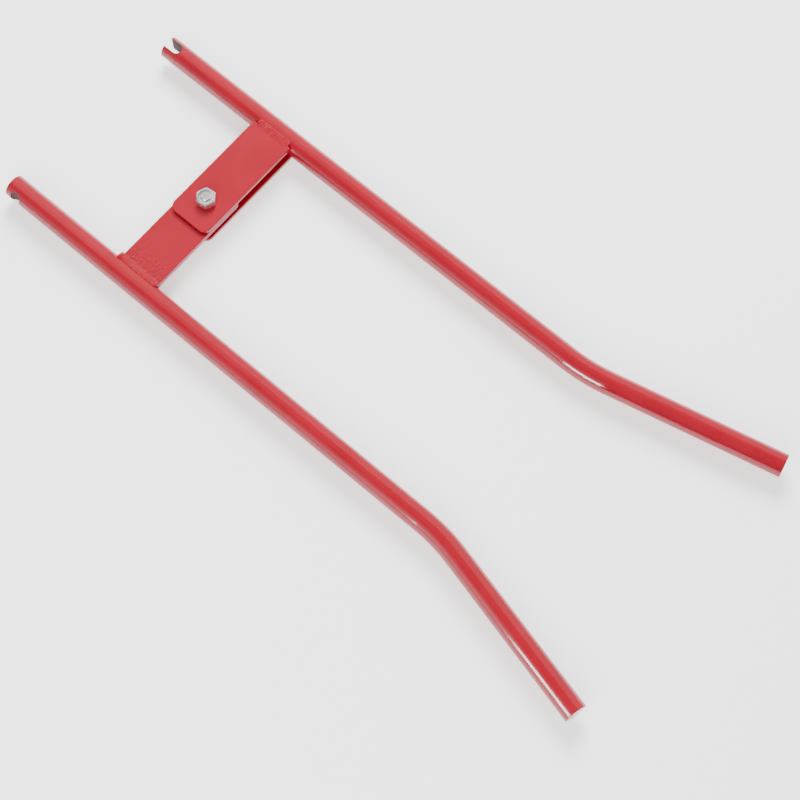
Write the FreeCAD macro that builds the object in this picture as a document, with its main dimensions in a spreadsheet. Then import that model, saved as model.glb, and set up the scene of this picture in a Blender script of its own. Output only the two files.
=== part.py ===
import FreeCAD, Part
import Sketcher
import math
import os

# A hand lever tool: two round steel bars joined by a welded link with one pivot bolt.
#
# Frame: X runs along the bars, from the notched tips (-X) to the handles (+X).  Y runs across
# the tool, from the near bar (-Y) to the far bar (+Y).  Z is up, and z = 0 is the underside
# of the bolt head, the lowest point.  The origin is the bottom centre of the overall box.

Vector = FreeCAD.Vector
Z_AXIS = Vector(0, 0, 1)
Y_AXIS = Vector(0, 1, 0)
X_AXIS = Vector(1, 0, 0)

os.makedirs("parts", exist_ok=True)
doc = FreeCAD.newDocument("two_bar_lever")

# ------------------------------------------------------------------ driving dimensions

DRIVING = {
    # bars
    "bar_dia": 22.0,
    "bar_spacing": 200.0,  # between the bars' axes
    "near_reach": 150.0,  # link centre to the tip of the near bar
    "far_reach": 141.0,  # link centre to the tip of the far bar
    "grip_reach": 368.0,  # link centre to the corner of the bend
    "grip_length": 192.0,  # corner of the bend to the end of the handle
    "bend_angle": 13.4,
    "bend_radius": 180.0,
    "end_round": 0.8,
    # notches at the tips, both cut with the same round cutter
    "notch_width": 10.5,
    "notch_centre": 12.0,  # tip to the centre of the notch's round
    # link plates
    "link_width": 45.0,
    "plate_corner": 8.0,
    "plate_edge": 0.5,
    "clevis_thick": 4.0,
    "clevis_gap": 12.5,  # between the two clevis plates
    "clevis_overrun": 26.7,  # pivot to the free end of a clevis plate
    "tongue_thick": 6.0,
    "tongue_play": 0.3,  # under the upper clevis plate
    "tongue_overrun": 22.6,  # pivot to the free end of the tongue
    "pivot_side": 1.4,  # the pivot is this much nearer to the far bar
    "bolt_dia": 10.0,
    "bolt_proud": 1.2,  # bolt end above the nut
    "bolt_bevel": 1.0,
    "hex_flats": 17.0,
    "hex_bevel": 8.1,  # radius of the flat ring inside a bevelled hex end
    "head_height": 6.4,
    "nut_height": 8.0,
    "nut_hole": 10.04,
    "clevis_hole": 10.5,
    "tongue_hole": 10.16,
    # fillet welds between the plates and the bars
    "weld_root": 1.2,  # depth behind the end of a plate
    "seat_root": 0.2,  # the same where the plate all but touches the bar
    "seat_gap": 0.2,  # between the tongue's end and the bar
    "tongue_leg": 4.4,
    "tongue_rise": 2.5,
    "tongue_weld": 45.0,
    "clevis_leg": 2.4,
    "clevis_rise": 0.45,
    "clevis_weld": 40.0,
}

DERIVED = {
    "bar_radius": "=bar_dia / 2",
    "axis_height": "=head_height + clevis_thick + clevis_gap / 2",
    "bend_tangent": "=bend_radius * tan(bend_angle * 0.5 * 1deg)",
    "near_straight": "=near_reach + grip_reach - bend_tangent",
    "far_straight": "=far_reach + grip_reach - bend_tangent",
    "grip_straight": "=grip_length - bend_tangent",
    "handle_reach": "=grip_reach + grip_length * cos(bend_angle * 1deg)"
                    " + bar_radius * sin(bend_angle * 1deg)",
    "link_x": "=(near_reach - handle_reach) / 2",
    "near_tip": "=link_x - near_reach",
    "far_tip": "=link_x - far_reach",
    "tongue_seat": "=bar_radius + seat_gap",
    "tongue_top": "=clevis_gap / 2 - tongue_play",
    "tongue_bottom": "=tongue_thick - tongue_top",
    "tongue_pivot": "=bar_spacing / 2 - tongue_seat + pivot_side",
    "tongue_length": "=tongue_pivot + tongue_overrun",
    "clevis_seat": "=sqrt(bar_radius ^ 2 - clevis_gap ^ 2 / 4)",
    "clevis_face": "=clevis_gap / 2 + clevis_thick",
    "clevis_pivot": "=bar_spacing / 2 - clevis_seat - pivot_side",
    "clevis_length": "=clevis_pivot + clevis_overrun",
    "nut_seat": "=axis_height + clevis_face",
    "bolt_length": "=2 * clevis_face + nut_height + bolt_proud",
}

dims = doc.addObject("Spreadsheet::Sheet", "dims")
for row, (word, content) in enumerate({**DRIVING, **DERIVED}.items(), start=1):
    dims.set("A%d" % row, word)
    dims.set("B%d" % row, str(content))
    dims.setAlias("B%d" % row, word)
doc.recompute()


def value(word):
    """The number that a cell holds now."""
    held = dims.get(word)
    return float(getattr(held, "Value", held))


# ------------------------------------------------------------------ helpers

SUBPARTS = []


def finished(thing, label):
    """Give a sub-part the name of its node and put it on the list to be written."""
    thing.Label = label
    SUBPARTS.append(thing)
    return thing


def place(thing, x, y, z, axis=Z_AXIS, angle=0.0):
    """Turn a sub-part, then bind its position to the sheet."""
    thing.Placement = FreeCAD.Placement(Vector(0, 0, 0), FreeCAD.Rotation(axis, angle))
    for letter, formula in (("x", x), ("y", y), ("z", z)):
        thing.setExpression("Placement.Base." + letter, formula)


def new_sketch(body, role, name):
    """A sketch on one of the body's own origin planes."""
    plane = [f for f in body.Origin.OriginFeatures if f.Role == role][0]
    sketch = body.newObject("Sketcher::SketchObject", name)
    sketch.AttachmentSupport = [(plane, "")]
    sketch.MapMode = "FlatFace"
    return sketch


def rule(sketch, name, formula, *constraint):
    """Add a sized constraint under a name and bind it to the sheet."""
    index = sketch.addConstraint(Sketcher.Constraint(*constraint))
    sketch.renameConstraint(index, name)
    sketch.setExpression("Constraints." + name, formula)


def rules(sketch, *constraints):
    """Add constraints that carry no size."""
    for constraint in constraints:
        sketch.addConstraint(Sketcher.Constraint(*constraint))


def line(x1, y1, x2, y2):
    return Part.LineSegment(Vector(x1, y1, 0), Vector(x2, y2, 0))


def arc(x, y, radius, start, end):
    """An arc about (x, y) from one angle to another, in degrees, anticlockwise."""
    circle = Part.Circle(Vector(x, y, 0), Z_AXIS, radius)
    return Part.ArcOfCircle(circle, math.radians(start), math.radians(end))


def pocket_through(body, sketch, name):
    """Cut a sketch on the middle plane right through the bar, and make sure that it cut."""
    before = body.Shape.Volume
    cut = body.newObject("PartDesign::Pocket", name)
    cut.Profile = sketch
    cut.Midplane = True
    cut.Type = "Length"
    cut.setExpression("Length", "dims.bar_dia + 2")
    doc.recompute()
    if body.Shape.Volume > before - 1:
        raise RuntimeError(name + " cut nothing")


def round_edges(body, base, name, formula, wanted):
    """Fillet those edges of a feature that wanted() picks."""
    edges = ["Edge%d" % n for n, edge in enumerate(base.Shape.Edges, 1) if wanted(edge)]
    fillet = body.newObject("PartDesign::Fillet", name)
    fillet.Base = (base, edges)
    fillet.setExpression("Radius", formula)
    doc.recompute()
    return fillet


# ------------------------------------------------------------------ bars


def bar_path(body, side, straight):
    """The bar's centre line: straight, one smooth bend outwards, then the handle."""
    reach, radius = value(straight), value("bend_radius")
    grip, bend = value("grip_straight"), value("bend_angle")
    turn = math.radians(bend)
    bend_x = reach + radius * math.sin(turn)
    bend_y = side * radius * (1 - math.cos(turn))
    end_x = bend_x + grip * math.cos(turn)
    end_y = bend_y + side * grip * math.sin(turn)
    first, last = (270, 270 + bend) if side > 0 else (90 - bend, 90)
    path = new_sketch(body, "XY_Plane", body.Name + "_path")
    path.addGeometry(line(0, 0, reach, 0))
    path.addGeometry(arc(reach, side * radius, radius, first, last))
    path.addGeometry(line(bend_x, bend_y, end_x, end_y))
    bend_start, bend_end = (1, 2) if side > 0 else (2, 1)
    rules(path,
          ("Coincident", 0, 1, -1, 1),
          ("Horizontal", 0),
          ("Tangent", 0, 2, 1, bend_start),
          ("Tangent", 1, bend_end, 2, 1))
    rule(path, "straight", "dims." + straight, "Distance", 0, reach)
    rule(path, "bend", "dims.bend_radius", "Radius", 1, radius)
    rule(path, "grip", "dims.grip_straight", "Distance", 2, grip)
    first_line, last_line = (0, 2) if side > 0 else (2, 0)
    rule(path, "turn", "dims.bend_angle * 1deg", "Angle", first_line, last_line, turn)
    return path


def bar(label, side, straight, tip_x):
    """A round bar, tip at the body's origin, with both ends' edges rounded."""
    body = doc.addObject("PartDesign::Body", label)
    path = bar_path(body, side, straight)
    section = new_sketch(body, "YZ_Plane", label + "_section")
    section.addGeometry(Part.Circle(Vector(0, 0, 0), Z_AXIS, value("bar_radius")))
    rules(section, ("Coincident", 0, 3, -1, 1))
    rule(section, "dia", "dims.bar_dia", "Diameter", 0, value("bar_dia"))
    doc.recompute()
    pipe = body.newObject("PartDesign::AdditivePipe", label + "_pipe")
    pipe.Profile = section
    pipe.Spine = (path, ["Edge1", "Edge2", "Edge3"])
    doc.recompute()
    ends = (Vector(0, 0, 0), path.Geometry[2].EndPoint)

    def rim(edge):
        middle = edge.BoundBox.Center
        return any((middle - point).Length < 1 for point in ends)

    round_edges(body, pipe, label + "_ends", "dims.end_round", rim)
    place(body, "dims." + tip_x, "%d * dims.bar_spacing / 2" % side, "dims.axis_height")
    return finished(body, label)


def near_notch(body):
    """A half-round groove across the outer side, which leaves a hooked lip at the tip."""
    sketch = new_sketch(body, "XY_Plane", "near_notch_outline")
    centre = Vector(value("notch_centre"), -value("bar_radius"), 0)
    sketch.addGeometry(Part.Circle(centre, Z_AXIS, value("notch_width") / 2))
    rule(sketch, "width", "dims.notch_width", "Diameter", 0, value("notch_width"))
    rule(sketch, "along", "dims.notch_centre", "DistanceX", -1, 1, 0, 3, centre.x)
    rule(sketch, "depth", "dims.bar_radius", "DistanceY", 0, 3, -1, 1, -centre.y)
    doc.recompute()
    pocket_through(body, sketch, "near_notch")


def far_notch(body):
    """A slot from the end face with a round bottom, which leaves two prongs."""
    half, centre = value("notch_width") / 2, value("notch_centre")
    mouth = -2.0
    sketch = new_sketch(body, "XY_Plane", "far_notch_outline")
    sketch.addGeometry(line(mouth, -half, centre, -half))
    sketch.addGeometry(arc(centre, 0, half, -90, 90))
    sketch.addGeometry(line(centre, half, mouth, half))
    sketch.addGeometry(line(mouth, half, mouth, -half))
    rules(sketch,
          ("Tangent", 0, 2, 1, 1),
          ("Tangent", 1, 2, 2, 1),
          ("Coincident", 2, 2, 3, 1),
          ("Coincident", 3, 2, 0, 1),
          ("Horizontal", 0),
          ("Vertical", 3),
          ("PointOnObject", 1, 3, -1))
    rule(sketch, "width", "dims.notch_width / 2", "Radius", 1, half)
    rule(sketch, "depth", "dims.notch_centre", "DistanceX", -1, 1, 1, 3, centre)
    rules(sketch, ("DistanceX", 3, 1, -1, 1, -mouth))
    doc.recompute()
    pocket_through(body, sketch, "far_notch")


# ------------------------------------------------------------------ link plates


def plate(label, length, thick, hole, pivot):
    """A flat plate from its welded edge (y = 0) to a free end with two round corners."""
    width, reach = value("link_width"), value(length)
    corner, along = value("plate_corner"), value(pivot)
    half = width / 2
    body = doc.addObject("PartDesign::Body", label)
    sketch = new_sketch(body, "XY_Plane", label + "_outline")
    sketch.addGeometry(line(-half, 0, half, 0))
    sketch.addGeometry(line(half, 0, half, reach - corner))
    sketch.addGeometry(arc(half - corner, reach - corner, corner, 0, 90))
    sketch.addGeometry(line(half - corner, reach, corner - half, reach))
    sketch.addGeometry(arc(corner - half, reach - corner, corner, 90, 180))
    sketch.addGeometry(line(-half, reach - corner, -half, 0))
    hole_centre = Vector(0, along, 0)
    sketch.addGeometry(Part.Circle(hole_centre, Z_AXIS, value(hole) / 2))
    rules(sketch,
          ("Coincident", 0, 2, 1, 1),
          ("Tangent", 1, 2, 2, 1),
          ("Tangent", 2, 2, 3, 1),
          ("Tangent", 3, 2, 4, 1),
          ("Tangent", 4, 2, 5, 1),
          ("Coincident", 5, 2, 0, 1),
          ("Horizontal", 0),
          ("Vertical", 1),
          ("Vertical", 5),
          ("Symmetric", 0, 1, 0, 2, -1, 1),
          ("Equal", 2, 4),
          ("PointOnObject", 6, 3, -2))
    rule(sketch, "width", "dims.link_width", "DistanceX", 0, 1, 0, 2, width)
    rule(sketch, "reach", "dims." + length, "DistanceY", 0, 2, 3, 1, reach)
    rule(sketch, "corner", "dims.plate_corner", "Radius", 2, corner)
    rule(sketch, "hole", "dims." + hole, "Diameter", 6, value(hole))
    rule(sketch, "along", "dims." + pivot, "DistanceY", -1, 1, 6, 3, along)
    doc.recompute()
    pad = body.newObject("PartDesign::Pad", label + "_pad")
    pad.Profile = sketch
    pad.setExpression("Length", "dims." + thick)
    doc.recompute()

    def outer_rim(edge):
        box = edge.BoundBox
        flat = box.ZLength < 0.01
        at_hole = (box.Center - Vector(hole_centre.x, hole_centre.y, box.ZMin)).Length < 1
        at_seat = box.YMax < 0.01
        return flat and not at_hole and not at_seat

    round_edges(body, pad, label + "_edges", "dims.plate_edge", outer_rim)
    return finished(body, label)


def tongue():
    body = plate("tongue_plate", "tongue_length", "tongue_thick", "tongue_hole",
                 "tongue_pivot")
    place(body, "dims.link_x", "dims.tongue_seat - dims.bar_spacing / 2",
          "dims.axis_height - dims.tongue_bottom")


def clevis(label, z):
    body = plate(label, "clevis_length", "clevis_thick", "clevis_hole", "clevis_pivot")
    place(body, "dims.link_x", "dims.bar_spacing / 2 - dims.clevis_seat", z, Z_AXIS, 180)


# ------------------------------------------------------------------ pivot fasteners


def hexagon(name, height):
    """A hexagonal prism with two faces across X."""
    prism = doc.addObject("Part::Prism", name)
    prism.Polygon = 6
    prism.setExpression("Circumradius", "dims.hex_flats / sqrt(3)")
    prism.setExpression("Height", height)
    return prism


def bevel_cone(name, height, upwards):
    """A wide 30-degree cone that trims the corners at one end of a hexagon."""
    cone = doc.addObject("Part::Cone", name)
    wide = "dims.hex_bevel + %s / tan(30deg)" % height
    cone.setExpression("Radius1", wide if upwards else "dims.hex_bevel")
    cone.setExpression("Radius2", "dims.hex_bevel" if upwards else wide)
    cone.setExpression("Height", height)
    return cone


def common(name, base, tool):
    both = doc.addObject("Part::Common", name)
    both.Base = base
    both.Tool = tool
    return both


def fuse(name, *pieces):
    union = doc.addObject("Part::MultiFuse", name)
    union.Shapes = list(pieces)
    union.Refine = True
    return union


def pivot_bolt():
    """Hex head below, plain shank, and a bevelled end."""
    head = common("bolt_head", hexagon("bolt_hex", "dims.head_height"),
                  bevel_cone("bolt_head_bevel", "dims.head_height", upwards=False))
    shank = doc.addObject("Part::Cylinder", "bolt_shank")
    shank.setExpression("Radius", "dims.bolt_dia / 2")
    shank.setExpression("Height", "dims.bolt_length - dims.bolt_bevel")
    shank.setExpression("Placement.Base.z", "dims.head_height")
    end = doc.addObject("Part::Cone", "bolt_end")
    end.setExpression("Radius1", "dims.bolt_dia / 2")
    end.setExpression("Radius2", "dims.bolt_dia / 2 - dims.bolt_bevel")
    end.setExpression("Height", "dims.bolt_bevel")
    end.setExpression("Placement.Base.z",
                      "dims.head_height + dims.bolt_length - dims.bolt_bevel")
    bolt = fuse("pivot_bolt", head, shank, end)
    place(bolt, "dims.link_x", "dims.pivot_side", "0mm")
    finished(bolt, "pivot_bolt")


def pivot_nut():
    """A plain hex nut, bevelled at both ends, on the upper clevis plate."""
    lower = common("nut_lower", hexagon("nut_hex", "dims.nut_height"),
                   bevel_cone("nut_lower_bevel", "dims.nut_height", upwards=False))
    blank = common("nut_blank", lower,
                   bevel_cone("nut_upper_bevel", "dims.nut_height", upwards=True))
    hole = doc.addObject("Part::Cylinder", "nut_thread")
    hole.setExpression("Radius", "dims.nut_hole / 2")
    hole.setExpression("Height", "dims.nut_height")
    nut = doc.addObject("Part::Cut", "pivot_nut")
    nut.Base = blank
    nut.Tool = hole
    place(nut, "dims.link_x", "dims.pivot_side", "dims.nut_seat")
    finished(nut, "pivot_nut")


# ------------------------------------------------------------------ welds


def weld(label, seat, face, root_word, leg, rise, length, y, axis, angle):
    """A fillet weld between the end of a plate and the round side of a bar.

    In the body's frame the bar's axis is X, the plate ends at y = seat, and the weld lies
    on the plate's face at z = face.
    """
    radius, root = value("bar_radius"), value(root_word)
    end_y, top = value(seat), value(face)
    toe_z, root_z = top + value(rise), top - root
    toe_y = math.sqrt(radius ** 2 - toe_z ** 2)
    root_y = math.sqrt(radius ** 2 - root_z ** 2)
    body = doc.addObject("PartDesign::Body", label)
    sketch = new_sketch(body, "YZ_Plane", label + "_section")
    start, finish = math.degrees(math.atan2(root_z, root_y)), math.degrees(math.atan2(toe_z, toe_y))
    sketch.addGeometry(arc(0, 0, radius, start, finish))
    sketch.addGeometry(line(root_y, root_z, end_y, root_z))
    sketch.addGeometry(line(end_y, root_z, end_y, top))
    sketch.addGeometry(line(end_y, top, end_y + value(leg), top))
    sketch.addGeometry(line(end_y + value(leg), top, toe_y, toe_z))
    rules(sketch,
          ("Coincident", 0, 3, -1, 1),
          ("Coincident", 0, 1, 1, 1),
          ("Coincident", 1, 2, 2, 1),
          ("Coincident", 2, 2, 3, 1),
          ("Coincident", 3, 2, 4, 1),
          ("Coincident", 4, 2, 0, 2),
          ("Horizontal", 1),
          ("Vertical", 2),
          ("Horizontal", 3))
    rule(sketch, "outer", "dims.bar_radius", "Radius", 0, radius)
    rule(sketch, "seat", "dims." + seat, "DistanceX", -1, 1, 2, 2, end_y)
    rule(sketch, "face", "dims." + face, "DistanceY", -1, 1, 2, 2, top)
    rule(sketch, "root", "dims." + root_word, "DistanceY", 2, 1, 2, 2, root)
    rule(sketch, "leg", "dims." + leg, "DistanceX", 3, 1, 3, 2, value(leg))
    rule(sketch, "rise", "dims." + rise, "DistanceY", 3, 2, 4, 2, value(rise))
    doc.recompute()
    pad = body.newObject("PartDesign::Pad", label + "_pad")
    pad.Profile = sketch
    pad.Midplane = True
    pad.setExpression("Length", "dims." + length)
    place(body, "dims.link_x", y, "dims.axis_height", axis, angle)
    finished(body, label)


def tongue_weld(label, face, root, axis, angle):
    weld(label, "tongue_seat", face, root, "tongue_leg", "tongue_rise", "tongue_weld",
         "-dims.bar_spacing / 2", axis, angle)


def clevis_weld(label, axis):
    weld(label, "clevis_seat", "clevis_face", "weld_root", "clevis_leg", "clevis_rise",
         "clevis_weld", "dims.bar_spacing / 2", axis, 180)


# ------------------------------------------------------------------ the tool

near_notch(bar("near_bar", -1, "near_straight", "near_tip"))
far_notch(bar("far_bar", 1, "far_straight", "far_tip"))
tongue()
clevis("upper_clevis_plate", "dims.axis_height + dims.clevis_gap / 2")
clevis("lower_clevis_plate", "dims.head_height")
pivot_bolt()
pivot_nut()
tongue_weld("tongue_weld_upper", "tongue_top", "weld_root", Z_AXIS, 0)
tongue_weld("tongue_weld_lower", "tongue_bottom", "seat_root", Y_AXIS, 180)
clevis_weld("clevis_weld_upper", Z_AXIS)
clevis_weld("clevis_weld_lower", X_AXIS)
doc.recompute()

# ------------------------------------------------------------------ check and write

for thing in doc.Objects:
    if "Invalid" in thing.State or "Error" in thing.State:
        raise RuntimeError("%s failed: %s" % (thing.Label, thing.State))

for thing in SUBPARTS:
    if thing.Shape.isNull() or not thing.Shape.isValid() or len(thing.Shape.Solids) != 1:
        raise RuntimeError(thing.Label + " is not one valid solid")

for thing in SUBPARTS:
    thing.Shape.exportStep("parts/%s.step" % thing.Label)
    box = thing.Shape.BoundBox
    print("%-20s %9.1f mm3  x %7.1f %7.1f  y %7.1f %7.1f  z %5.1f %5.1f" % (
        thing.Label, thing.Shape.Volume, box.XMin, box.XMax, box.YMin, box.YMax,
        box.ZMin, box.ZMax))
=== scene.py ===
import math

import bpy
from mathutils import Matrix, Vector, noise

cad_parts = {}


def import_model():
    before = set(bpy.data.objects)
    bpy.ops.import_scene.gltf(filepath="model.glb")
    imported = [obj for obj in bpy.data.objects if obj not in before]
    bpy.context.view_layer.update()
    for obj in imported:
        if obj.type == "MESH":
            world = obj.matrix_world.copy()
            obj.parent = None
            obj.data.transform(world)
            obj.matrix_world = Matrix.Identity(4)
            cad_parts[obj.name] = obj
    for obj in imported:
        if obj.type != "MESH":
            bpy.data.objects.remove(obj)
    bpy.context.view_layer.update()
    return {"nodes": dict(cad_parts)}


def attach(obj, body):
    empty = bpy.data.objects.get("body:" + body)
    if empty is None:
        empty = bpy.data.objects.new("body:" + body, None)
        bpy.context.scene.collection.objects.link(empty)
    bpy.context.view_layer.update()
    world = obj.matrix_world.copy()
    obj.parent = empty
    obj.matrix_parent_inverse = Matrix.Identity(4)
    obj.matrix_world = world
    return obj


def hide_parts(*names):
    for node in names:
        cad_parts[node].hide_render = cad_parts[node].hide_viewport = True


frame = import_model()
NODES = frame["nodes"]
MM = 0.001

# Sizes in millimetres, in the frame of the part: the bars run along X, the link along Y.
LINK_X = -203.661               # centre line of the link, and of the bolt
PIVOT_Y = 1.4
NEAR_Y, FAR_Y = -100.0, 100.0   # axes of the bars
AXIS_Z = 16.65
BAR_R = 11.0
HOOK = (-341.661, -111.0)       # centre of the round notch in the near bar
FORK = (-332.661, FAR_Y)        # centre of the round end of the slot in the far bar
# The pore is drawn as a near-black painted dot on the weld: painted shade of a hollow that the
# mesh lacks.
PINHOLE = (LINK_X - 17.5, 91.3)  # a pore in the weld of the upper clevis plate

HEX_FLATS = 17.0                # across the flats of the nut and of the bolt's head
BEVEL_RING = 8.0                # radius where the 30-degree bevels of a hexagon start
BOLT_R = 5.0
HEAD_TOP = 6.4
NUT_SEAT, NUT_TOP = 26.9, 34.9
THREAD_START, BOLT_END = 19.0, 36.1
NUT_TURN = 9.0                  # degrees that the nut stopped past a corner on +X

# Toes of the weld beads: distance from the bar's axis, and height above or below it.
TONGUE_TOE_UPPER = (15.5, 5.95)
TONGUE_TOE_LOWER = (15.5, 0.05)
CLEVIS_TOE = (11.9, 10.2)
BEAD_ROOT = 0.9                 # how far a bead reaches into the steel


# ------------------------------------------------------------------ materials

def material(name):
    mat = bpy.data.materials.new(name)
    mat.use_nodes = True
    tree = mat.node_tree
    shader = next(n for n in tree.nodes if n.type == "BSDF_PRINCIPLED")
    return mat, tree, shader


def add(tree, kind, **values):
    """A new shader node, with its sockets or properties set by name."""
    made = tree.nodes.new(kind)
    for key, val in values.items():
        name = key.replace("_", " ")
        if name in made.inputs:
            made.inputs[name].default_value = val
        else:
            setattr(made, key, val)
    return made


def maths(tree, operation, a, b=0.0, clamp=False):
    """A maths node on sockets or plain numbers; gives its result."""
    made = tree.nodes.new("ShaderNodeMath")
    made.operation = operation
    made.use_clamp = clamp
    for socket, val in zip(made.inputs, (a, b)):
        if isinstance(val, (int, float)):
            socket.default_value = val
        else:
            tree.links.new(val, socket)
    return made.outputs[0]


def groove_mask(tree, split, centre, radius):
    """1 on the wall of a round groove that runs along Z at centre, and 0 elsewhere."""
    dx = maths(tree, "SUBTRACT", split.outputs["X"], centre[0] * MM)
    dy = maths(tree, "SUBTRACT", split.outputs["Y"], centre[1] * MM)
    far = maths(tree, "SQRT", maths(tree, "ADD", maths(tree, "MULTIPLY", dx, dx),
                                    maths(tree, "MULTIPLY", dy, dy)))
    return maths(tree, "LESS_THAN", far, radius * MM)


def slot_mask(tree, split, centre, half):
    """1 on the walls of a slot that opens towards -X and has a round end at centre."""
    dy = maths(tree, "ABSOLUTE", maths(tree, "SUBTRACT", split.outputs["Y"], centre[1] * MM))
    side = maths(tree, "LESS_THAN", dy, half * MM)
    before = maths(tree, "LESS_THAN", split.outputs["X"], centre[0] * MM)
    straight = maths(tree, "MULTIPLY", side, before)
    return maths(tree, "MAXIMUM", straight, groove_mask(tree, split, centre, half))


def powder_coat(name, peel=0.05, grain=0.0, rough=0.08,
                mask=None, hollow_shade_colour=(0.085, 0.036, 0.042, 1), around=None):
    """Gloss red powder coat with a faint orange peel.

    Where mask is 1 the coat is dull and its colour goes to a darker given one: painted
    shade of a hollow, in the bars' notch and slot partly a thinner coat as well.  grain is
    the depth of a coarse roughness, which around limits to a part of the piece.
    """
    mat, tree, shader = material(name)
    link = tree.links.new
    place = add(tree, "ShaderNodeTexCoord")
    cloud = add(tree, "ShaderNodeTexNoise", Scale=30.0, Detail=3.0)
    link(place.outputs["Object"], cloud.inputs["Vector"])
    tint = add(tree, "ShaderNodeValToRGB")
    tint.color_ramp.elements[0].position = 0.3
    tint.color_ramp.elements[0].color = (0.300, 0.0040, 0.0150, 1)
    tint.color_ramp.elements[1].position = 0.7
    tint.color_ramp.elements[1].color = (0.330, 0.0052, 0.0180, 1)
    link(cloud.outputs["Fac"], tint.inputs["Fac"])
    colour = tint.outputs["Color"]
    if mask:
        split = add(tree, "ShaderNodeSeparateXYZ")
        link(place.outputs["Object"], split.inputs["Vector"])
        # Painted shade: inside the mask the red is mixed to a darker colour that stands for the
        # shade in a hollow.
        hollow_shade_mix = add(tree, "ShaderNodeMix", data_type="RGBA")
        inside = mask(tree, split)
        link(inside, hollow_shade_mix.inputs[0])
        link(maths(tree, "ADD", rough, maths(tree, "MULTIPLY", inside, 0.5)),
             shader.inputs["Roughness"])
        link(maths(tree, "SUBTRACT", 0.5, maths(tree, "MULTIPLY", inside, 0.4)),
             shader.inputs["Specular IOR Level"])
        link(colour, hollow_shade_mix.inputs[6])
        hollow_shade_mix.inputs[7].default_value = hollow_shade_colour
        colour = hollow_shade_mix.outputs[2]
    link(colour, shader.inputs["Base Color"])
    skin = add(tree, "ShaderNodeTexNoise", Scale=420.0, Detail=1.5)
    link(place.outputs["Object"], skin.inputs["Vector"])
    bump = add(tree, "ShaderNodeBump", Strength=peel, Distance=0.00035)
    link(skin.outputs["Fac"], bump.inputs["Height"])
    soft = add(tree, "ShaderNodeBevel", Radius=0.0006, samples=6)
    link(soft.outputs["Normal"], bump.inputs["Normal"])
    if grain:
        spatter = add(tree, "ShaderNodeTexNoise", Scale=520.0, Detail=2.5)
        link(place.outputs["Object"], spatter.inputs["Vector"])
        height = spatter.outputs["Fac"]
        if around:
            split = add(tree, "ShaderNodeSeparateXYZ")
            link(place.outputs["Object"], split.inputs["Vector"])
            height = maths(tree, "MULTIPLY", height, around(tree, split))
        rough_bump = add(tree, "ShaderNodeBump", Strength=grain, Distance=0.0014)
        link(height, rough_bump.inputs["Height"])
        link(bump.outputs["Normal"], rough_bump.inputs["Normal"])
        bump = rough_bump
    link(bump.outputs["Normal"], shader.inputs["Normal"])
    if not mask:
        shader.inputs["Roughness"].default_value = rough
    shader.inputs["IOR"].default_value = 1.5
    return mat


def near_weld_zone(tree, split):
    """1 on the tongue beside its weld, falling to 0 about 25 mm away."""
    return maths(tree, "DIVIDE", maths(tree, "SUBTRACT", -0.058, split.outputs["Y"]), 0.022,
                 clamp=True)


def zinc(name, rough=0.17):
    """Bright zinc plate with a fine grain."""
    mat, tree, shader = material(name)
    link = tree.links.new
    place = add(tree, "ShaderNodeTexCoord")
    cloud = add(tree, "ShaderNodeTexNoise", Scale=260.0, Detail=4.0)
    link(place.outputs["Object"], cloud.inputs["Vector"])
    tint = add(tree, "ShaderNodeValToRGB")
    tint.color_ramp.elements[0].color = (0.90, 0.91, 0.89, 1)
    tint.color_ramp.elements[1].color = (0.97, 0.97, 0.95, 1)
    link(cloud.outputs["Fac"], tint.inputs["Fac"])
    link(tint.outputs["Color"], shader.inputs["Base Color"])
    bump = add(tree, "ShaderNodeBump", Strength=0.12, Distance=0.0002)
    link(cloud.outputs["Fac"], bump.inputs["Height"])
    link(bump.outputs["Normal"], shader.inputs["Normal"])
    shader.inputs["Metallic"].default_value = 0.92
    shader.inputs["Roughness"].default_value = rough
    return mat


PLATE_PAINT = powder_coat("plate_powder_coat")
TONGUE_PAINT = powder_coat("tongue_powder_coat", grain=1.0, around=near_weld_zone)
WELD_PAINT = powder_coat("weld_powder_coat", grain=0.55, rough=0.2)
# The walls of the near bar's notch go dull and darker: partly a thinner coat, partly painted
# shade of the hollow.
NEAR_PAINT = powder_coat(
    "near_bar_powder_coat", peel=0.03,
    mask=lambda tree, split: groove_mask(tree, split, HOOK, 5.4))
# Near-black in the pore: painted shade of its hollow.
CLEVIS_WELD_PAINT = powder_coat(
    "clevis_weld_powder_coat", grain=0.3, rough=0.18, hollow_shade_colour=(0.02, 0.001, 0.002, 1),
    mask=lambda tree, split: groove_mask(tree, split, PINHOLE, 0.8))
# The walls of the far bar's slot likewise: partly a thinner coat, partly painted shade of the
# hollow.
FAR_PAINT = powder_coat(
    "far_bar_powder_coat",
    mask=lambda tree, split: slot_mask(tree, split, FORK, 5.35))
ZINC = zinc("zinc_plate")

PAINTS = {"near_bar": NEAR_PAINT, "far_bar": FAR_PAINT, "tongue_plate": TONGUE_PAINT}
for name, thing in NODES.items():
    thing.data.materials.clear()
    thing.data.materials.append(PAINTS.get(name, PLATE_PAINT))


# ------------------------------------------------------------------ new pieces

def piece(name, points, faces, mat, body, stands_for, sharp=None):
    """A mesh of points in millimetres that stands for a CAD node and rides its body."""
    mesh = bpy.data.meshes.new(name)
    mesh.from_pydata([[c * MM for c in p] for p in points], [], faces)
    mesh.validate()
    mesh.update()
    for face in mesh.polygons:
        face.use_smooth = True
    if sharp:
        mesh.set_sharp_from_angle(angle=math.radians(sharp))
    mesh.materials.append(mat)
    made = bpy.data.objects.new(name, mesh)
    bpy.context.scene.collection.objects.link(made)
    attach(made, body)
    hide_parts(stands_for)
    return made


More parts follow.
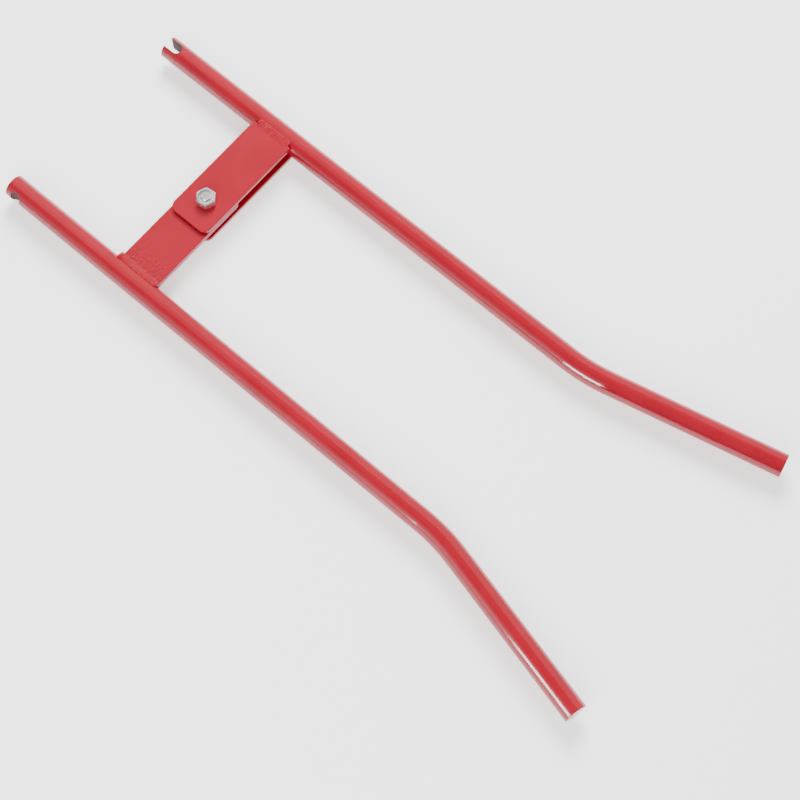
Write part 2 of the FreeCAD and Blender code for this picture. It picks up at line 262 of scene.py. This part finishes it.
def rings(loops, closed=True):
    """Quads between loops of points; with both ends capped when closed."""
    count = len(loops[0])
    points = [p for loop in loops for p in loop]
    faces = []
    for row in range(len(loops) - 1):
        for k in range(count):
            nxt = (k + 1) % count
            faces.append((row * count + k, row * count + nxt,
                          (row + 1) * count + nxt, (row + 1) * count + k))
    if closed:
        faces.append(tuple(reversed(range(count))))
        last = (len(loops) - 1) * count
        faces.append(tuple(last + k for k in range(count)))
    return points, faces


def bead_loops(low, high, start, end, crown, seed, lump=0.0, pitch=3.1, steps=150):
    """Sections of a weld bead along X, from low to high beside the link's centre line.

    start and end are (distance from the bar's axis, height over it) of the toes on the
    plate and on the bar.  The bead bulges by crown, ripples at its pitch, wanders a
    little, and has a rounder lump at its -X end.
    """
    loops = []
    across = 18
    for i in range(steps + 1):
        x = low + (high - low) * i / steps
        end_gap = min(x - low, high - x)
        cap = math.sqrt(max(0.0, 1 - (1 - min(1.0, end_gap / 2.4)) ** 2))
        wander = noise.noise(Vector((x * 0.21, seed, 0.0)))
        fine = noise.noise(Vector((x * 0.9, seed + 7.0, 0.0)))
        blob = lump * math.exp(-((x - low - 3.0) / 2.6) ** 2)
        loop = []
        for j in range(across + 1):
            t = j / across
            arch = math.sin(math.pi * t)
            phase = (x + 1.1 * arch + 0.5 * wander) / pitch
            ripple = 0.42 * (1 - (phase % 1.0)) ** 2
            bulge = (crown + blob + 0.40 * wander + 0.30 * fine) * arch ** 0.8 + ripple * arch
            reach = 0.7 * wander * (1 - t) - 0.4 * fine * t
            d = start[0] + (end[0] - start[0]) * t + reach * (1 - t)
            h = start[1] + (end[1] - start[1]) * t
            along = Vector((end[0] - start[0], end[1] - start[1])).normalized()
            out = Vector((-along.y, along.x))
            if out.y < 0:
                out = -out
            d += out.x * bulge * cap
            h += out.y * bulge * cap
            mid = Vector(((start[0] + end[0]) / 2, (start[1] + end[1]) / 2 - 0.8))
            loop.append((x, mid.x + (d - mid.x) * (0.25 + 0.75 * cap),
                         mid.y + (h - mid.y) * (0.25 + 0.75 * cap)))
        loop.append((x, loop[-1][1] + 0.2, loop[-1][2] - BEAD_ROOT))
        loop.append((x, loop[0][1] - 0.6, loop[0][2] - BEAD_ROOT))
        loops.append(loop)
    return loops


def bead(name, loops, bar_y, inward, up, body, stands_for, mat=WELD_PAINT):
    """Put a bead beside a bar: inward is the sign of Y towards the link, up that of Z."""
    placed = []
    for loop in loops:
        row = [(LINK_X + x, bar_y + inward * d, AXIS_Z + up * h) for x, d, h in loop]
        placed.append(row if inward * up > 0 else list(reversed(row)))
    points, faces = rings(placed)
    piece(name, points, faces, mat, body, stands_for)


def bar_point(height):
    """(distance from the axis, height) of a point on the bar's round side."""
    return math.sqrt(BAR_R ** 2 - height ** 2), height


bead("tongue_bead_upper",
     bead_loops(-25.6, 22.6, TONGUE_TOE_UPPER, bar_point(8.35), 0.75, 3.0, lump=1.3),
     NEAR_Y, 1, 1, "near_arm", "tongue_weld_upper")
bead("tongue_bead_lower",
     bead_loops(-22.5, 22.5, TONGUE_TOE_LOWER, bar_point(2.5), 0.5, 11.0, lump=0.5),
     NEAR_Y, 1, -1, "near_arm", "tongue_weld_lower")
bead("clevis_bead_upper",
     bead_loops(-19.0, 19.5, CLEVIS_TOE, bar_point(10.55), 0.12, 19.0, pitch=2.7),
     FAR_Y, -1, 1, "far_arm", "clevis_weld_upper", CLEVIS_WELD_PAINT)
bead("clevis_bead_lower",
     bead_loops(-19.0, 19.5, CLEVIS_TOE, bar_point(10.55), 0.12, 27.0, pitch=2.7),
     FAR_Y, -1, -1, "far_arm", "clevis_weld_lower", CLEVIS_WELD_PAINT)


def hex_radius(angle, soft=0.35):
    """Distance from the axis to a hexagon with slightly rounded corners."""
    turn = (angle + math.pi / 6) % (math.pi / 3) - math.pi / 6
    flat = abs(turn)
    plain = HEX_FLATS / 2 / math.cos(math.pi / 6 - flat)
    corner = HEX_FLATS / math.sqrt(3) - soft * 0.155
    return min(plain, corner)


def hex_angles():
    """Angles round a hexagon, closer together near its six corners."""
    steps = [-30, -22, -15, -9, -5, -2.6, -1.6, -0.8, 0, 0.8, 1.6, 2.6, 5, 9, 15, 22]
    return [math.radians(60 * side + step) for side in range(6) for step in steps]


def turned(angles, radius_of, height_of):
    """A loop about the pivot, with its radius and height as functions of the angle."""
    return [(LINK_X + radius_of(a) * math.cos(a),
             PIVOT_Y + radius_of(a) * math.sin(a), height_of(a)) for a in angles]


def circle(radius, height):
    return turned(hex_angles(), lambda a: radius, lambda a: height)


def bevel_drop(angle):
    """How far the 30-degree bevel cuts down the hexagon at this angle."""
    return max(0.0, (hex_radius(angle) - BEVEL_RING) * math.tan(math.radians(30)))


def hex_sides(low, high):
    """Loops up the outside of a bevelled hexagon, from one end's flat ring to the other's."""
    angles = hex_angles()
    edge = 0.25  # a narrow row beside each bevel keeps the flats flat
    heights = [lambda a: low + bevel_drop(a),
               lambda a: low + bevel_drop(a) + edge,
               lambda a: high - bevel_drop(a) - edge,
               lambda a: high - bevel_drop(a)]
    ring = lambda a: min(BEVEL_RING, hex_radius(a))
    return ([turned(angles, ring, lambda a: low)]
            + [turned(angles, hex_radius, height) for height in heights]
            + [turned(angles, ring, lambda a: high)])


def thread_radius(angle, z, major=4.96, depth=0.78, pitch=1.5):
    """Radius of a 60-degree thread at an angle and height, with flat crests and roots."""
    phase = (z / pitch - angle / (2 * math.pi)) % 1.0
    ramp = abs(2 * phase - 1)
    return major - depth * min(1.0, max(0.0, (ramp - 0.12) / 0.68))


def spin(points, turn):
    """Points turned about the pivot: how far round a nut happens to have stopped."""
    c, s = math.cos(turn), math.sin(turn)
    out = []
    for x, y, z in points:
        dx, dy = x - LINK_X, y - PIVOT_Y
        out.append((LINK_X + c * dx - s * dy, PIVOT_Y + s * dx + c * dy, z))
    return out


def nut():
    bore = 4.99
    loops = hex_sides(NUT_SEAT, NUT_TOP)
    loops += [circle(5.55, NUT_TOP), circle(5.42, NUT_TOP - 0.06), circle(bore, NUT_TOP - 0.75),
              circle(bore, NUT_SEAT + 0.75), circle(5.45, NUT_SEAT)]
    loops.append(loops[0])
    points, faces = rings(loops, closed=False)
    points = spin(points, math.radians(NUT_TURN))
    piece("hex_nut", points, faces, ZINC, "far_arm", "pivot_nut", sharp=25)


def bolt():
    angles = hex_angles()
    tip_r = 4.0  # the flat on the end, inside a 45-degree bevel
    loops = [circle(0.01, 0.0), circle(6.9, 0.0)] + hex_sides(0.0, HEAD_TOP)
    loops += [circle(5.45, HEAD_TOP), circle(BOLT_R, HEAD_TOP + 0.2),
              circle(BOLT_R, THREAD_START)]
    z = THREAD_START
    while z < BOLT_END - 0.02:
        z = min(BOLT_END, z + 0.125)
        limit = tip_r + BOLT_END - z
        loops.append(turned(angles, lambda a: min(limit, thread_radius(a, z)), lambda a: z))
    loops += [circle(3.85, BOLT_END), circle(2.0, BOLT_END - 0.05),
              circle(0.01, BOLT_END - 0.06)]
    points, faces = rings(loops)
    piece("hex_bolt", points, faces, ZINC, "far_arm", "pivot_bolt", sharp=28)


nut()
bolt()


# ------------------------------------------------------------------ stage

def stage_plane(name, corners, mat):
    """A flat sheet that belongs to the studio, not to the tool."""
    mesh = bpy.data.meshes.new(name)
    mesh.from_pydata(corners, [], [(0, 1, 2, 3)])
    mesh.materials.append(mat)
    made = bpy.data.objects.new(name, mesh)
    bpy.context.scene.collection.objects.link(made)
    return made


def floor():
    mat, tree, shader = material("floor")
    shader.inputs["Base Color"].default_value = (0.95, 0.95, 0.95, 1)
    shader.inputs["Roughness"].default_value = 1.0
    shader.inputs["Emission Color"].default_value = (1.0, 1.0, 1.0, 1)
    shader.inputs["Emission Strength"].default_value = 0.9
    shader.inputs["Specular IOR Level"].default_value = 0.0
    stage_plane("floor", [(-6, -6, 0), (6, -6, 0), (6, 6, 0), (-6, 6, 0)], mat)


def area_light(name, at, target, size, power):
    data = bpy.data.lights.new(name, "AREA")
    data.shape = "RECTANGLE"
    data.size, data.size_y = size
    data.energy = power
    made = bpy.data.objects.new(name, data)
    made.location = at
    made.rotation_euler = (Vector(target) - Vector(at)).to_track_quat("-Z", "Y").to_euler()
    bpy.context.scene.collection.objects.link(made)
    return made


def lamps():
    """A key lamp from behind and a weak fill from in front, which the gloss doesn't mirror."""
    centre = (0, 0, 0)
    for lamp in (area_light("key", (-1.0, 1.5, 1.9), centre, (1.2, 1.2), 140),
                 area_light("fill", (0.5, -1.3, 1.3), centre, (1.4, 1.4), 42)):
        lamp.visible_glossy = False


def soft_box():
    """A tall lit cloth beside the tool, brightest low down and towards the handles.

    It is there for the gloss to mirror, so it lights nothing.
    """
    mat = bpy.data.materials.new("soft_box")
    mat.use_nodes = True
    tree = mat.node_tree
    tree.nodes.clear()
    link = tree.links.new
    place = add(tree, "ShaderNodeTexCoord")
    split = add(tree, "ShaderNodeSeparateXYZ")
    link(place.outputs["Object"], split.inputs["Vector"])
    fall = maths(tree, "EXPONENT", maths(tree, "MULTIPLY", split.outputs["Z"], -2.6))
    side = maths(tree, "EXPONENT", maths(tree, "MULTIPLY", split.outputs["X"], 1.3))
    glow = maths(tree, "MULTIPLY", maths(tree, "MULTIPLY", fall, side), 6.0)
    core_x = maths(tree, "MULTIPLY", maths(tree, "SUBTRACT", split.outputs["X"], 0.01), 40.0,
                   clamp=True)
    core_z = maths(tree, "MULTIPLY", maths(tree, "SUBTRACT", 0.42, split.outputs["Z"]), 12.0,
                   clamp=True)
    core = maths(tree, "MULTIPLY", maths(tree, "MULTIPLY", core_x, core_z), 34.0)
    light = add(tree, "ShaderNodeEmission")
    link(maths(tree, "ADD", glow, core), light.inputs["Strength"])
    out = add(tree, "ShaderNodeOutputMaterial")
    link(light.outputs[0], out.inputs["Surface"])
    made = stage_plane("soft_box", [(0.27, -0.72, 0.09), (-0.85, -0.72, 0.09),
                                    (-0.85, -0.72, 1.4), (0.27, -0.72, 1.4)], mat)
    made.visible_camera = False
    made.visible_shadow = False
    made.visible_diffuse = False


def world():
    """Pale walls round the stage: bright behind and low down, darker in front and overhead."""
    made = bpy.data.worlds.new("studio")
    made.use_nodes = True
    tree = made.node_tree
    back = next(n for n in tree.nodes if n.type == "BACKGROUND")
    place = add(tree, "ShaderNodeTexCoord")
    split = add(tree, "ShaderNodeSeparateXYZ")
    tree.links.new(place.outputs["Generated"], split.inputs["Vector"])
    x, y, z = (split.outputs[k] for k in "XYZ")
    behind = maths(tree, "MULTIPLY", maths(tree, "SUBTRACT", y, 0.36), 6.0, clamp=True)
    left = maths(tree, "MULTIPLY", maths(tree, "SUBTRACT", -0.25, x), 6.0, clamp=True)
    above = maths(tree, "MULTIPLY", maths(tree, "ADD", y, 0.25), 5.0, clamp=True)
    lit = maths(tree, "MULTIPLY", maths(tree, "MAXIMUM", behind, left), above)
    level = maths(tree, "ADD", 0.22, maths(tree, "MULTIPLY", lit, 0.9))
    tree.links.new(level, back.inputs["Strength"])
    back.inputs["Color"].default_value = (1.0, 1.0, 1.0, 1)
    bpy.context.scene.world = made


def camera():
    data = bpy.data.cameras.new("camera")
    data.sensor_width = 36.0
    data.lens = 92.04
    data.clip_end = 30.0
    made = bpy.data.objects.new("camera", data)
    right = Vector((0.75712, 0.65325, -0.00585))
    up = Vector((-0.61044, 0.71063, 0.34982))
    back = right.cross(up).normalized()
    up = back.cross(right).normalized()
    turn = Matrix((right, up, back)).transposed()
    made.matrix_world = Matrix.Translation((0.47763, -0.50198, 1.71627)) @ turn.to_4x4()
    bpy.context.scene.collection.objects.link(made)
    bpy.context.scene.camera = made


floor()
soft_box()
world()
camera()
lamps()
